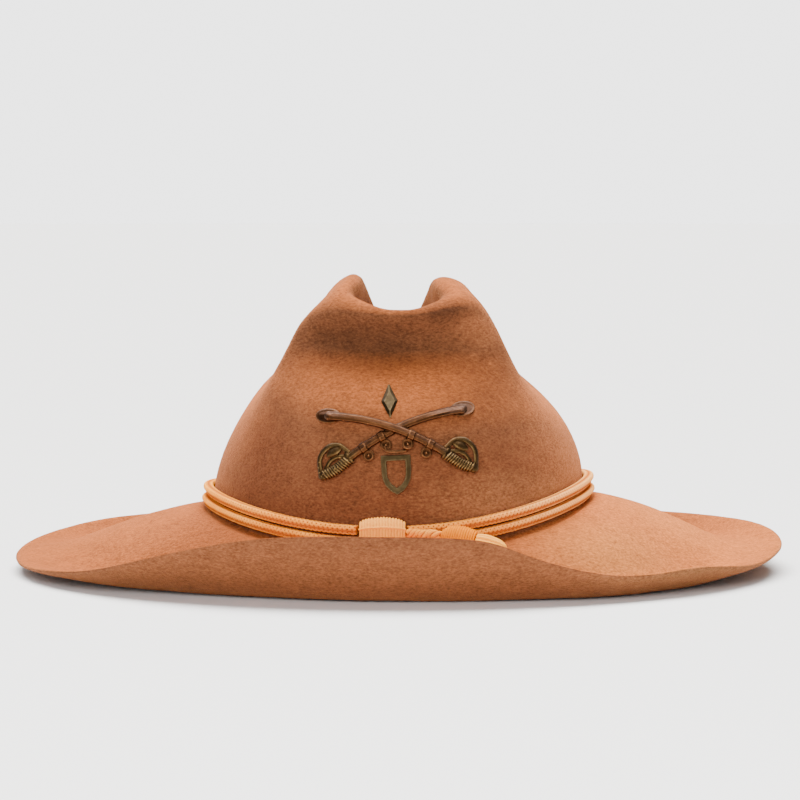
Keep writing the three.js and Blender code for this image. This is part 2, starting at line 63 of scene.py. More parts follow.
camera_data = bpy.data.cameras.new("photo_camera")
camera_data.sensor_fit = "HORIZONTAL"
camera_data.sensor_width = 36.0
camera_data.lens = camera_data.sensor_width * PIXELS_PER_METRE * CAMERA_DISTANCE / PHOTO_WIDTH
camera = bpy.data.objects.new("photo_camera", camera_data)
bpy.context.scene.collection.objects.link(camera)
backwards = Vector((0.0, -math.cos(CAMERA_TILT), math.sin(CAMERA_TILT)))
camera.location = AIM + CAMERA_DISTANCE * backwards
camera.rotation_euler = (math.radians(90) - CAMERA_TILT, 0.0, 0.0)
bpy.context.scene.camera = camera
print("lens", round(camera_data.lens, 1), "mm")

# %% [markdown]
# Felt shows its shape best in broad light from above, with pale floor all round to fill the shadows. A
# sun lamp with a very wide disc lights the whole floor evenly, like a large soft box over the table, and
# a pale wall that only the camera sees carries the floor's tone on upwards.

# %% Floor, wall and light
BLACK = (0.0, 0.0, 0.0, 1.0)
WHITE = (1.0, 1.0, 1.0, 1.0)
STAGE_REACH = 15.0
STAGE_SIDES = 64
WALL_HEIGHT = 12.0
FLOOR_TONE = 0.85
WALL_TONE = 3.4
SUN_AIM = Vector((0.03, -0.42, -1.0))
SUN_SPREAD = math.radians(60)
SUN_POWER = 12.4
SUN_COLOUR = (1.0, 0.985, 0.96)
SKY_POWER = 0.3
FILL_PLACE = Vector((-0.4, -2.5, 0.7))
FILL_SIZE = 1.8
FILL_POWER = 85.0


def grey(tone):
    """An opaque grey."""
    return (tone, tone, tone, 1.0)


def stage_piece(name, shape, finish):
    """A floor or wall, which is not part of the hat."""
    mesh = bpy.data.meshes.new(name)
    shape.to_mesh(mesh)
    shape.free()
    mesh.materials.append(finish)
    piece = bpy.data.objects.new(name, mesh)
    bpy.context.scene.collection.objects.link(piece)
    return piece


def plain_finish(name):
    """A material and its shader."""
    finish = bpy.data.materials.new(name)
    finish.use_nodes = True
    return finish, finish.node_tree.nodes["Principled BSDF"]


floor_finish, floor_shader = plain_finish("pale_floor")
floor_shader.inputs["Base Color"].default_value = grey(FLOOR_TONE)
floor_shader.inputs["Roughness"].default_value = 1.0
floor_shader.inputs["Specular IOR Level"].default_value = 0.0
floor_shape = bmesh.new()
bmesh.ops.create_circle(floor_shape, cap_ends=True, segments=STAGE_SIDES, radius=STAGE_REACH)
stage_piece("floor", floor_shape, floor_finish)

wall_finish, wall_shader = plain_finish("pale_wall")
wall_shader.inputs["Base Color"].default_value = BLACK
wall_shader.inputs["Specular IOR Level"].default_value = 0.0
wall_shader.inputs["Emission Color"].default_value = WHITE
wall_shader.inputs["Emission Strength"].default_value = WALL_TONE
wall_shape = bmesh.new()
bmesh.ops.create_cone(
    wall_shape,
    cap_ends=False,
    segments=STAGE_SIDES,
    radius1=STAGE_REACH,
    radius2=STAGE_REACH,
    depth=2 * WALL_HEIGHT,
)
wall = stage_piece("wall", wall_shape, wall_finish)
wall.visible_diffuse = False
wall.visible_glossy = False
wall.visible_shadow = False

world = bpy.data.worlds.new("studio")
world.use_nodes = True
world.node_tree.nodes["Background"].inputs["Color"].default_value = WHITE
world.node_tree.nodes["Background"].inputs["Strength"].default_value = SKY_POWER
bpy.context.scene.world = world

sun_data = bpy.data.lights.new("soft_box", "SUN")
sun_data.energy = SUN_POWER
sun_data.angle = SUN_SPREAD
sun_data.color = SUN_COLOUR
sun = bpy.data.objects.new("soft_box", sun_data)
sun.rotation_euler = SUN_AIM.to_track_quat("-Z", "Y").to_euler()
bpy.context.scene.collection.objects.link(sun)

fill_data = bpy.data.lights.new("front_fill", "AREA")
fill_data.energy = FILL_POWER
fill_data.size = FILL_SIZE
fill = bpy.data.objects.new("front_fill", fill_data)
fill.location = FILL_PLACE
fill.rotation_euler = (AIM - FILL_PLACE).to_track_quat("-Z", "Y").to_euler()
bpy.context.scene.collection.objects.link(fill)

# %% [markdown]
# Every finish here is a Principled shader with a few noise patterns on Object coordinates, so the pattern
# keeps its real scale on every piece. These helpers keep the node wiring short.

# %% Finish helpers


class Finish:
    """A material with its node tree at hand."""

    def __init__(self, name, roughness, metallic=0.0):
        self.material, self.shader = plain_finish(name)
        self.tree = self.material.node_tree
        self.shader.inputs["Roughness"].default_value = roughness
        self.shader.inputs["Metallic"].default_value = metallic
        self.place = self.tree.nodes.new("ShaderNodeTexCoord").outputs["Object"]

    def noise(self, size, detail=4.0, roughness=0.6, stretch=(1.0, 1.0, 1.0)):
        """Noise whose patches are about size metres across, times the stretch along each axis."""
        mapping = self.tree.nodes.new("ShaderNodeMapping")
        mapping.vector_type = "TEXTURE"
        mapping.inputs["Scale"].default_value = stretch
        node = self.tree.nodes.new("ShaderNodeTexNoise")
        node.inputs["Scale"].default_value = 1.0 / size
        node.inputs["Detail"].default_value = detail
        node.inputs["Roughness"].default_value = roughness
        self.tree.links.new(self.place, mapping.inputs["Vector"])
        self.tree.links.new(mapping.outputs["Vector"], node.inputs["Vector"])
        return node.outputs["Fac"]

    def ramp(self, factor, *stops):
        """Colours at places from 0 to 1 along a factor."""
        node = self.tree.nodes.new("ShaderNodeValToRGB")
        elements = node.color_ramp.elements
        while len(elements) < len(stops):
            elements.new(1.0)
        for element, (place, colour) in zip(elements, stops):
            element.position = place
            element.color = colour
        self.tree.links.new(factor, node.inputs["Fac"])
        return node.outputs["Color"]

    def mix(self, factor, first, second, kind="MIX"):
        """One colour over another, by a number or a pattern."""
        node = self.tree.nodes.new("ShaderNodeMix")
        node.data_type = "RGBA"
        node.blend_type = kind
        for value, socket in ((factor, node.inputs[0]), (first, node.inputs[6]), (second, node.inputs[7])):
            if hasattr(value, "links"):
                self.tree.links.new(value, socket)
            else:
                socket.default_value = value
        return node.outputs[2]

    def colour(self, source):
        """Colours the surface by a pattern."""
        self.tree.links.new(source, self.shader.inputs["Base Color"])

    def roughness(self, source):
        """Makes the surface as rough as a pattern is pale."""
        self.tree.links.new(source, self.shader.inputs["Roughness"])

    def bump(self, height, depth, strength=1.0, under=None):
        """Fine relief of the given depth in metres, laid over another relief if there is one."""
        node = self.tree.nodes.new("ShaderNodeBump")
        node.inputs["Distance"].default_value = depth
        node.inputs["Strength"].default_value = strength
        self.tree.links.new(height, node.inputs["Height"])
        if under:
            self.tree.links.new(under, node.inputs["Normal"])
        self.tree.links.new(node.outputs["Normal"], self.shader.inputs["Normal"])
        return node.outputs["Normal"]

    def times(self, colour, factors):
        """A colour made lighter or darker by three factors."""
        return self.mix(1.0, colour, (*factors, 1.0), "MULTIPLY")

    def patch(self, centre, size):
        """1 in the middle of a round patch and 0 from its edge on."""
        mapping = self.tree.nodes.new("ShaderNodeMapping")
        mapping.vector_type = "TEXTURE"
        mapping.inputs["Location"].default_value = centre
        mapping.inputs["Scale"].default_value = size
        ball = self.tree.nodes.new("ShaderNodeTexGradient")
        ball.gradient_type = "SPHERICAL"
        self.tree.links.new(self.place, mapping.inputs["Vector"])
        self.tree.links.new(mapping.outputs["Vector"], ball.inputs["Vector"])
        return ball.outputs["Fac"]

    def stored(self, name):
        """A number that the mesh stores at each corner."""
        node = self.tree.nodes.new("ShaderNodeAttribute")
        node.attribute_name = name
        return node.outputs["Fac"]

    def raised(self):
        """High spots of the mesh, about half for a flat place."""
        return self.tree.nodes.new("ShaderNodeNewGeometry").outputs["Pointiness"]

    def facing(self, axis):
        """How far the surface faces along an axis of the world, from -1 to 1."""
        geometry = self.tree.nodes.new("ShaderNodeNewGeometry")
        split = self.tree.nodes.new("ShaderNodeSeparateXYZ")
        self.tree.links.new(geometry.outputs["Normal"], split.inputs["Vector"])
        return split.outputs[axis]


print("finish helpers ready")

# %% [markdown]
# Wool felt is matte, with a short nap that catches light at the rim (the sheen), blotches of dye a few
# centimetres wide, and fibres about a millimetre long. Faces that look up are painted paler, partly sun
# fading and partly painted light from above. Patches of painted shade darken the front of the crown below
# the crease, the recess at its left side and the brim by its left foot; patches of painted light brighten
# the crease's right end, the sides, a wrinkle above the cord, the front roll and the right of the brim.
# One patch right of the crown's front is simply darker, and a few small dark stains and pale worn specks
# are real marks.

# %% Felt finish
FELT_SHADING_AND_SPECKS = [
    # Painted shade under the lip of the crease, in three patches.
    {"centre": (-0.0304, -0.06, 0.105), "size": (0.038, 0.08, 0.022), "times": (0.47, 0.48, 0.49)},
    {"centre": (0.0, -0.06, 0.104), "size": (0.040, 0.08, 0.019), "times": (0.49, 0.50, 0.51)},
    {"centre": (0.021, -0.06, 0.119), "size": (0.022, 0.08, 0.008), "times": (0.42, 0.42, 0.44)},
    # Painted light at the right end of the crease's lip.
    {"centre": (0.039, -0.06, 0.112), "size": (0.018, 0.08, 0.014), "times": (1.75, 1.75, 1.7)},
    # A darker patch right of the crown's front.
    {"centre": (0.038, -0.07, 0.086), "size": (0.030, 0.06, 0.026), "times": (0.58, 0.58, 0.58)},
    # Painted light on the right and left sides of the crown.
    {"centre": (0.074, -0.02, 0.06), "size": (0.035, 0.08, 0.04), "times": (2.0, 2.0, 1.9)},
    {"centre": (-0.070, -0.02, 0.076), "size": (0.026, 0.06, 0.032), "times": (1.6, 1.45, 1.25)},
    # Painted shade in the recess at the crown's left side.
    {"centre": (-0.060, -0.05, 0.057), "size": (0.022, 0.06, 0.034), "times": (0.68, 0.58, 0.52)},
    # A painted highlight on a wrinkle above the cord.
    {"centre": (0.041, -0.08, 0.037), "size": (0.045, 0.06, 0.016), "times": (1.8, 2.1, 2.1)},
    # Painted light on the front roll of the brim.
    {"centre": (0.0, -0.15, 0.008), "size": (0.16, 0.05, 0.032), "times": (1.75, 1.65, 1.55)},
    # Painted shade on the brim by the crown's left foot.
    {"centre": (-0.080, -0.075, 0.028), "size": (0.045, 0.07, 0.03), "times": (0.62, 0.57, 0.52)},
    # Painted light on the right of the brim.
    {"centre": (0.095, -0.105, 0.017), "size": (0.05, 0.06, 0.03), "times": (1.25, 1.55, 1.5)},
    {"centre": (0.13, -0.02, 0.022), "size": (0.09, 0.14, 0.05), "times": (1.6, 1.8, 1.65)},
    # Two small dark stains.
    {"centre": (-0.0875, -0.12, 0.0045), "size": (0.0016, 0.04, 0.0012), "times": (0.3, 0.3, 0.3)},
    {"centre": (0.0695, -0.12, 0.0175), "size": (0.0015, 0.04, 0.0012), "times": (0.3, 0.3, 0.3)},
    # Two pale worn specks.
    {"centre": (0.0324, -0.06, 0.099), "size": (0.0018, 0.04, 0.0010), "times": (1.8, 1.8, 1.8)},
    {"centre": (0.0398, -0.06, 0.095), "size": (0.0016, 0.04, 0.0010), "times": (1.8, 1.8, 1.8)},
]

BLOTCH_SIZE = 50 * MM
NAP_SIZE = 6 * MM
FIBRE_SIZE = 0.9 * MM

felt = Finish("tan_felt", roughness=0.95)
blotches = felt.noise(BLOTCH_SIZE, detail=3.0)
nap = felt.noise(NAP_SIZE, detail=5.0, roughness=0.7, stretch=(1.3, 1.3, 0.8))
fibres = felt.noise(FIBRE_SIZE, detail=4.0, roughness=0.75, stretch=(1.7, 1.7, 0.9))

dyed = felt.ramp(blotches, (0.3, (0.105, 0.036, 0.013, 1.0)), (0.7, (0.17, 0.058, 0.022, 1.0)))
nap_colours = felt.ramp(nap, (0.36, (0.070, 0.023, 0.008, 1.0)), (0.64, (0.22, 0.076, 0.029, 1.0)))
fibre_colours = felt.ramp(fibres, (0.36, (0.045, 0.014, 0.005, 1.0)), (0.66, (0.26, 0.092, 0.037, 1.0)))
felt_colour = felt.mix(0.55, felt.mix(0.5, dyed, nap_colours), fibre_colours)
# Faces that look up are painted paler: partly sun fading, partly painted light from above.
faded_and_lit_tops = felt.ramp(felt.facing("Z"), (0.4, BLACK), (0.95, WHITE))
felt_colour = felt.mix(faded_and_lit_tops, felt_colour, felt.times(felt_colour, (2.2, 1.65, 0.9)))
# Each patch paints light or shade on the felt, or is a real stain or worn speck.
for wear_or_painted_shading in FELT_SHADING_AND_SPECKS:
    amount = felt.patch(wear_or_painted_shading["centre"], wear_or_painted_shading["size"])
    felt_colour = felt.mix(amount, felt_colour, felt.times(felt_colour, wear_or_painted_shading["times"]))
felt.colour(felt_colour)
felt.bump(fibres, depth=0.0008, strength=0.5, under=felt.bump(nap, depth=0.0015, strength=0.4))
felt.shader.inputs["Sheen Weight"].default_value = 0.35
felt.shader.inputs["Sheen Roughness"].default_value = 0.35
felt.shader.inputs["Sheen Tint"].default_value = (1.0, 0.36, 0.13, 1.0)
felt.shader.inputs["Specular IOR Level"].default_value = 0.1
print(felt.material.name, len(FELT_SHADING_AND_SPECKS), "patches")

# %% [markdown]
# The felt body is one steamed and blocked piece. Its solid is made of flat facets, so the copy is merged,
# its triangles are joined to four-sided faces, and a subdivision surface rounds it. Rounding draws every
# corner in, so each corner first moves out by as much, which keeps the blocked shape full, but not below
# the surface that the brim lies on. A slight displacement gives the uneven face of hand-brushed felt.

# %% Felt body
JOIN_ANGLE = math.radians(60)
ROUNDING_LEVELS = 2
UNEVENNESS_SIZE = 30 * MM
UNEVENNESS_DEPTH = 0.8 * MM


def solid_copy(node):
    """The solid's mesh with its loose triangles merged."""
    shape = bmesh.new()
    shape.from_mesh(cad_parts[node].data)
    bmesh.ops.remove_doubles(shape, verts=shape.verts, dist=1e-6)
    return shape


def mesh_piece(name, mesh, finish, nodes):
    """Makes a mesh a piece of the hat that stands for the named solids."""
    mesh.name = name
    mesh.materials.clear()
    mesh.materials.append(finish.material)
    piece = bpy.data.objects.new(name, mesh)
    bpy.context.scene.collection.objects.link(piece)
    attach(piece, "root")
    if nodes:
        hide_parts(*nodes)
    return piece


def shape_piece(name, shape, finish, nodes):
    """Makes a bmesh a smooth-shaded piece of the hat."""
    for face in shape.faces:
        face.smooth = True
    mesh = bpy.data.meshes.new(name)
    shape.to_mesh(mesh)
    shape.free()
    return mesh_piece(name, mesh, finish, nodes)


felt_shape = solid_copy("felt_body")
felt_wall = BVHTree.FromBMesh(felt_shape)
bmesh.ops.join_triangles(
    felt_shape,
    faces=felt_shape.faces,
    angle_face_threshold=JOIN_ANGLE,
    angle_shape_threshold=JOIN_ANGLE,
)
print("felt faces", len(felt_shape.faces))
hat_felt = shape_piece("hat_felt", felt_shape, felt, ["felt_body"])

rounding = hat_felt.modifiers.new("rounding", "SUBSURF")
rounding.levels = ROUNDING_LEVELS
rounding.render_levels = ROUNDING_LEVELS

bpy.context.view_layer.update()
rounded_felt = hat_felt.evaluated_get(bpy.context.evaluated_depsgraph_get()).data
drawn_in = []
for corner in hat_felt.data.vertices:
    drawn_in.append(corner.co - rounded_felt.vertices[corner.index].co)
for corner, shift in zip(hat_felt.data.vertices, drawn_in):
    corner.co += shift
    corner.co.z = max(0.0, corner.co.z)
hat_felt.data.update()
print("corners moved out by up to", round(max(shift.length for shift in drawn_in) / MM, 2), "mm")

unevenness = bpy.data.textures.new("unevenness", "CLOUDS")
unevenness.noise_scale = UNEVENNESS_SIZE
unevenness.noise_depth = 3
brushing = hat_felt.modifiers.new("brushing", "DISPLACE")
brushing.texture = unevenness
brushing.texture_coords = "LOCAL"
brushing.strength = UNEVENNESS_DEPTH
brushing.mid_level = 0.5

# %% [markdown]
# The hat cord is braided worsted yarn. Where one yarn dips under another it gets a colour of painted
# shade, so the mesh will store each corner's height above the cord's middle and the shader darkens the low
# ones. The right side of the cord gets painted light, a paler colour.

# %% Cord finish
LIT_SIDE_PLACE = (0.095, -0.05, 0.045)
LIT_SIDE_SIZE = (0.075, 0.11, 0.05)
LIT_SIDE_COLOUR = (1.0, 0.50, 0.16, 1.0)
CREVICE_SHADE_COLOUR = (0.48, 0.125, 0.018, 1.0)
WOOL_SIZE = 0.6 * MM
FADING_SIZE = 20 * MM

cord_yarn = Finish("buff_yarn", roughness=0.85)
wool = cord_yarn.noise(WOOL_SIZE, detail=3.0)
fading = cord_yarn.noise(FADING_SIZE, detail=2.0)
wool_colours = cord_yarn.ramp(wool, (0.3, (0.84, 0.255, 0.020, 1.0)), (0.7, (1.0, 0.42, 0.055, 1.0)))
faded_colours = cord_yarn.ramp(fading, (0.35, (0.85, 0.25, 0.020, 1.0)), (0.65, (1.0, 0.44, 0.070, 1.0)))
# Painted shade: corners low between the yarns get a dark colour.
crevice_shade = cord_yarn.ramp(cord_yarn.stored("height"), (0.69, WHITE), (0.92, BLACK))
yarn_colour = cord_yarn.mix(0.45, wool_colours, faded_colours)
# Painted light: the right side of the cord is mixed towards a paler colour.
lit_side = cord_yarn.ramp(cord_yarn.patch(LIT_SIDE_PLACE, LIT_SIDE_SIZE), (0.0, BLACK), (0.5, grey(0.8)))
yarn_colour = cord_yarn.mix(lit_side, yarn_colour, LIT_SIDE_COLOUR)
cord_yarn.colour(cord_yarn.mix(crevice_shade, yarn_colour, CREVICE_SHADE_COLOUR))
cord_yarn.bump(wool, depth=0.0002, strength=0.4)
cord_yarn.shader.inputs["Specular IOR Level"].default_value = 0.0
print(cord_yarn.material.name)

# %% [markdown]
# Both strands of the cord leave one end of the slide, run round the foot of the crown and come back to
# its other end. A bevelled curve could be drawn by hand, but the solid tube already lies at the right
# place, so its rings of corners are sorted round the crown and their middles give the line to follow.

# %% Cord routes
CORD_SIDES = 8
FINE_STEPS = 16


def middle(points):
    """Mean place of some points."""
    return sum(points, Vector()) / len(points)


def solid_corners(node):
    """Every corner of a solid, once."""
    shape = solid_copy(node)
    corners = [vertex.co.copy() for vertex in shape.verts]
    shape.free()
    return corners


def ring_middles(corners, order):
    """Middle line of a solid tube, from the rings of corners along it."""
    ordered = sorted(corners, key=order)
    rings = [ordered[i:i + CORD_SIDES] for i in range(0, len(ordered), CORD_SIDES)]
    return [middle(ring) for ring in rings]


slide_middle = middle(solid_corners("slide"))
slide_turn = math.atan2(slide_middle.x, -slide_middle.y)


def turn_from_slide(point):
    """Angle round the crown, counted from the slide."""
    return (math.atan2(point.x, -point.y) - slide_turn) % math.tau


def smooth_line(points, spacing):
    """Evenly spaced places on the smooth curve through some points."""
    padded = [2 * points[0] - points[1], *points, 2 * points[-1] - points[-2]]
    fine = [points[0].copy()]
    for before, start, end, after in zip(padded, padded[1:], padded[2:], padded[3:]):
        for step in range(1, FINE_STEPS + 1):
            t = step / FINE_STEPS
            bend = (end - before) * t + (2 * before - 5 * start + 4 * end - after) * t * t
            fine.append(start + 0.5 * (bend + (3 * start - before - 3 * end + after) * t ** 3))
    lengths = [0.0]
    for start, end in zip(fine, fine[1:]):
        lengths.append(lengths[-1] + (end - start).length)
    count = max(2, round(lengths[-1] / spacing))
    places = []
    index = 0
    for step in range(count + 1):
        wanted = lengths[-1] * step / count
        while index < len(fine) - 2 and lengths[index + 1] < wanted:
            index += 1
        share = (wanted - lengths[index]) / max(1e-9, lengths[index + 1] - lengths[index])
        places.append(fine[index].lerp(fine[index + 1], min(1.0, share)))
    return places


def line_length(points):
    """Length of the straight pieces from point to point."""
    return sum((end - start).length for start, end in zip(points, points[1:]))


cord_routes = {}
for strand in ("upper", "lower"):
    corners = solid_corners("cord_" + strand)
    cord_routes[strand] = ring_middles(corners, turn_from_slide)
    print("cord", strand, len(corners), "corners", round(line_length(cord_routes[strand]) / MM), "mm")

# %% [markdown]
# In a round braid, yarns wind both ways round a core and pass over and under each other. A bump map would
# fail at the cord's edge, so each yarn is a thin curve on a helix whose distance from the cord's middle
# swings in and out at every crossing. The curves become one mesh for each strand, with a core inside that
# takes the dark colour of painted shade.

# %% Braided cords
CORD_RADIUS = 2.5 * MM
CORE_STEP = 4.0 * MM
CORE_SINK = 0.2 * MM
YARNS_EACH_WAY = 6
BRAID_PITCH = 13.0 * MM
YARN_RADIUS = 0.6 * MM
YARN_SWING = 0.38 * MM
CROSSING_STEPS = 2


def line_frames(line):
    """Sideways and upward directions at each place of a line that runs roughly level."""
    frames = []
    for index, place in enumerate(line):
        ahead = line[min(index + 1, len(line) - 1)] - line[max(index - 1, 0)]
        side = ahead.cross(Vector((0.0, 0.0, 1.0))).normalized()
        frames.append((side, side.cross(ahead).normalized()))
    return frames


def finished_mesh(holder):
    """The mesh that an object ends up with. The object itself is removed."""
    bpy.context.view_layer.update()
    evaluated = holder.evaluated_get(bpy.context.evaluated_depsgraph_get())
    mesh = bpy.data.meshes.new_from_object(evaluated)
    bpy.data.objects.remove(holder)
    return mesh


def yarn_mesh(name, lines, radius, resolution=2):
    """One mesh of round yarns of one thickness along some lines."""
    curve = bpy.data.curves.new(name, "CURVE")
    curve.dimensions = "3D"
    curve.bevel_depth = radius
    curve.bevel_resolution = resolution
    curve.use_fill_caps = True
    for line in lines:
        spline = curve.splines.new("POLY")
        spline.points.add(len(line) - 1)
        for point, place in zip(spline.points, line):
            point.co = (*place, 1.0)
        spline.use_smooth = True
    holder = bpy.data.objects.new(name, curve)
    bpy.context.scene.collection.objects.link(holder)
    mesh = finished_mesh(holder)
    bpy.data.curves.remove(curve)
    return mesh


def braid_lines(line, spacing, radius):
    """Helical yarns both ways round a line, two over and two under."""
    frames = line_frames(line)
    lines = []
    crossings_per_turn = 2 * YARNS_EACH_WAY
    for way in (1, -1):
        for yarn in range(YARNS_EACH_WAY):
            places = []
            for index, (place, (side, up)) in enumerate(zip(line, frames)):
                turns = index * spacing / BRAID_PITCH
                angle = math.tau * (way * turns + yarn / YARNS_EACH_WAY)
                weave = math.tau * (crossings_per_turn * turns / 4 + way * yarn / 2 + (1 - way) / 4)
                out = radius + YARN_SWING * math.sin(weave)
                places.append(place + out * (math.cos(angle) * side + math.sin(angle) * up))
            lines.append(places)
    return lines


def store_heights(mesh, line, radius):
    """Stores how far each corner stands from a cord's middle line, where 1 is the cord's outside."""
    tree = KDTree(len(line))
    for index, place in enumerate(line):
        tree.insert(place, index)
    tree.balance()
    heights = mesh.attributes.new("height", "FLOAT", "POINT")
    for vertex in mesh.vertices:
        heights.data[vertex.index].value = tree.find(vertex.co)[2] / radius


crossing_spacing = BRAID_PITCH / (2 * YARNS_EACH_WAY)
braid_spacing = crossing_spacing / CROSSING_STEPS
for strand, route in cord_routes.items():
    line = smooth_line(route, braid_spacing)
    outer = CORD_RADIUS - YARN_RADIUS - YARN_SWING
    yarns = braid_lines(line, braid_spacing, outer)
    braid = yarn_mesh("braid_" + strand, yarns, YARN_RADIUS, resolution=1)
    store_heights(braid, line, CORD_RADIUS)
    mesh_piece("cord_" + strand + "_braid", braid, cord_yarn, ["cord_" + strand])
    core = yarn_mesh("core_" + strand, [smooth_line(route, CORE_STEP)], outer - CORE_SINK)
    # The core lies below the yarns, so its heights give it the dark colour of painted shade all over.
    store_heights(core, line, CORD_RADIUS)
    mesh_piece("cord_" + strand + "_core", core, cord_yarn, [])
    print("braid", strand, len(braid.polygons), "faces")

# %% [markdown]
# Slide, caps and nuts are covered with fine thread: pale on the slide, orange on the caps and cream on
# the nuts. The grooves between its turns get a darker colour of painted shade. Pointiness finds these
# grooves on a fine mesh, so one function makes all three finishes.

# %% Wound thread finishes
STRAND_SIZE = 0.9 * MM


def thread_finish(name, shine, groove_shade, low, high):
    """Thread between two colours, with a colour of painted shade in the grooves between turns."""
    finish = Finish(name, roughness=0.7)
    strands = finish.noise(STRAND_SIZE, detail=3.0)
    # Painted shade: the grooves between turns get a darker colour.
    groove_shade_mask = finish.ramp(finish.raised(), (0.44, WHITE), (0.5, BLACK))
    finish.colour(finish.mix(groove_shade_mask, finish.ramp(strands, (0.3, low), (0.7, high)), groove_shade))
    finish.bump(strands, depth=0.0003, strength=0.4)
    finish.shader.inputs["Specular IOR Level"].default_value = shine
    return finish


slide_thread = thread_finish(
    "pale_thread",
    shine=0.2,
    groove_shade=(0.50, 0.13, 0.012, 1.0),
    low=(0.92, 0.31, 0.028, 1.0),
    high=(1.0, 0.44, 0.055, 1.0),
)
cap_thread = thread_finish(
    "orange_thread",
    shine=0.0,
    groove_shade=(0.36, 0.070, 0.0, 1.0),
    low=(0.70, 0.185, 0.0, 1.0),
    high=(0.78, 0.25, 0.0, 1.0),
)
nut_thread = thread_finish(
    "cream_thread",
    shine=0.2,
    groove_shade=(0.60, 0.16, 0.008, 1.0),
    low=(0.92, 0.34, 0.022, 1.0),
    high=(1.0, 0.47, 0.045, 1.0),
)
print(slide_thread.material.name, cap_thread.material.name, nut_thread.material.name)

# %% [markdown]
# A wound piece is a turned core with thread laid round it side by side. A curve for every turn would be
# heavy, so the core's profile gets a small round ridge for each turn of thread, and a full spin round the
# piece's own axis gives the winding as real relief.

# %% Turned and wound pieces
RIDGE_STEPS = 4
RIDGE_MIDDLE = 0.6
TURN_STEPS = 40


def turned_profile(corners, start, axis):
    """Distances along an axis and radii of a turned solid's rings, in order, without its end middles."""
    rings = {}
    for corner in corners:
        along = (corner - start).dot(axis)
        radius = (corner - start - along * axis).length
        rings.setdefault(round(along, 5), []).append(radius)
    return [(along, max(rings[along])) for along in sorted(rings)]


def wound_profile(profile, pitch, ridge):
    """The profile walked in fine steps, with a round ridge for each turn of thread."""
    corners = [Vector((along, radius)) for along, radius in profile]
    length = line_length(corners)
    turns = max(1, round(length / pitch))
    count = turns * RIDGE_STEPS
    fine = []
    for step in range(count + 1):
        wanted = length * step / count
        walked = 0.0
        for start, end in zip(corners, corners[1:]):
            piece = (end - start).length
            if walked + piece >= wanted - 1e-9 and piece > 0:
                place = start.lerp(end, max(0.0, (wanted - walked) / piece))
                slope = (end - start) / piece
                break
            walked += piece
        swell = abs(math.sin(math.pi * step / RIDGE_STEPS)) - RIDGE_MIDDLE
        fine.append(place + ridge * swell * Vector((-slope.y, slope.x)))
    return fine


def spun(profile, start, axis):
    """A closed solid made by spinning a profile of (along, radius) round an axis."""
    shape = bmesh.new()
    side = axis.orthogonal().normalized()
    ends = [Vector((profile[0].x, 0.0)), *profile, Vector((profile[-1].x, 0.0))]
    previous = None
    for place in ends:
        vertex = shape.verts.new(start + place.x * axis + max(0.0, place.y) * side)
        if previous:
            shape.edges.new((previous, vertex))
        previous = vertex
    bmesh.ops.spin(
        shape,
        geom=[*shape.verts, *shape.edges],
        cent=start,
        axis=axis,
        angle=math.tau,
        steps=TURN_STEPS,
        use_merge=True,
    )
    bmesh.ops.remove_doubles(shape, verts=shape.verts, dist=1e-6)
    bmesh.ops.recalc_face_normals(shape, faces=shape.faces)
    return shape


print("wound pieces have", TURN_STEPS, "sides")

# %% [markdown]
# The slide is a barrel that both strands pass through, pressed a little flat against the crown. It is
# spun round and then flattened, which keeps the winding even. One more thread lies along it and binds the
# turns.

# %% Slide
X_AXIS = Vector((1.0, 0.0, 0.0))
PROFILE_STEP = 0.5 * MM
SLIDE_PITCH = 1.3 * MM
SLIDE_RIDGE = 0.48 * MM
BINDING_TURN = math.radians(28)
BINDING_RADIUS = 0.5 * MM

slide_low, slide_high = (Vector(corner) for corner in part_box("slide"))
slide_size = slide_high - slide_low
slide_flatness = slide_size.y / slide_size.z
slide_round = []
for corner in solid_corners("slide"):
    depth = (corner.y - slide_middle.y) / slide_flatness
    slide_round.append(Vector((corner.x, slide_middle.y + depth, corner.z)))
barrel = [ring for ring in turned_profile(slide_round, slide_middle, X_AXIS) if ring[1] > MM]
rounded = smooth_line([Vector((along, radius, 0.0)) for along, radius in barrel], PROFILE_STEP)
barrel = [(place.x, place.y) for place in rounded]
slide_shape = spun(wound_profile(barrel, SLIDE_PITCH, SLIDE_RIDGE), slide_middle, X_AXIS)
flatten = Matrix.Diagonal((1.0, slide_flatness, 1.0, 1.0))
there = Matrix.Translation(slide_middle)
bmesh.ops.transform(slide_shape, matrix=there @ flatten @ there.inverted(), verts=slide_shape.verts)
print("slide faces", len(slide_shape.faces))
shape_piece("slide_winding", slide_shape, slide_thread, ["slide"])

binding = []
for along, radius in barrel:
    out = Vector((0.0, -slide_flatness * math.cos(BINDING_TURN), math.sin(BINDING_TURN)))
    binding.append(slide_middle + along * X_AXIS + radius * out)
binding_mesh = yarn_mesh("binding", [binding], BINDING_RADIUS)
mesh_piece("slide_binding", binding_mesh, slide_thread, [])

# %% [markdown]
# Each end of the cord hangs on as a short tail of three twisted plies with an acorn: a wound cap, and a
# nut of threads that run from the cap to its tip. The nut's threads are curves along its turned profile,
# because here the grooves run lengthwise.

# %% Tails and acorns
TAIL_PLIES = 3
TAIL_PITCH = 7.0 * MM
TAIL_STEP = 0.7 * MM
PLY_RADIUS = 1.0 * MM
CAP_PITCH = 1.1 * MM
CAP_RIDGE = 0.5 * MM
CAP_END = 0.5 * MM
NUT_THREADS = 13
NUT_STEP = 0.8 * MM
NUT_THREAD_RADIUS = 0.95 * MM
NUT_THREAD_SINK = 0.6 * MM
NUT_TIP_ROOM = 0.05 * MM


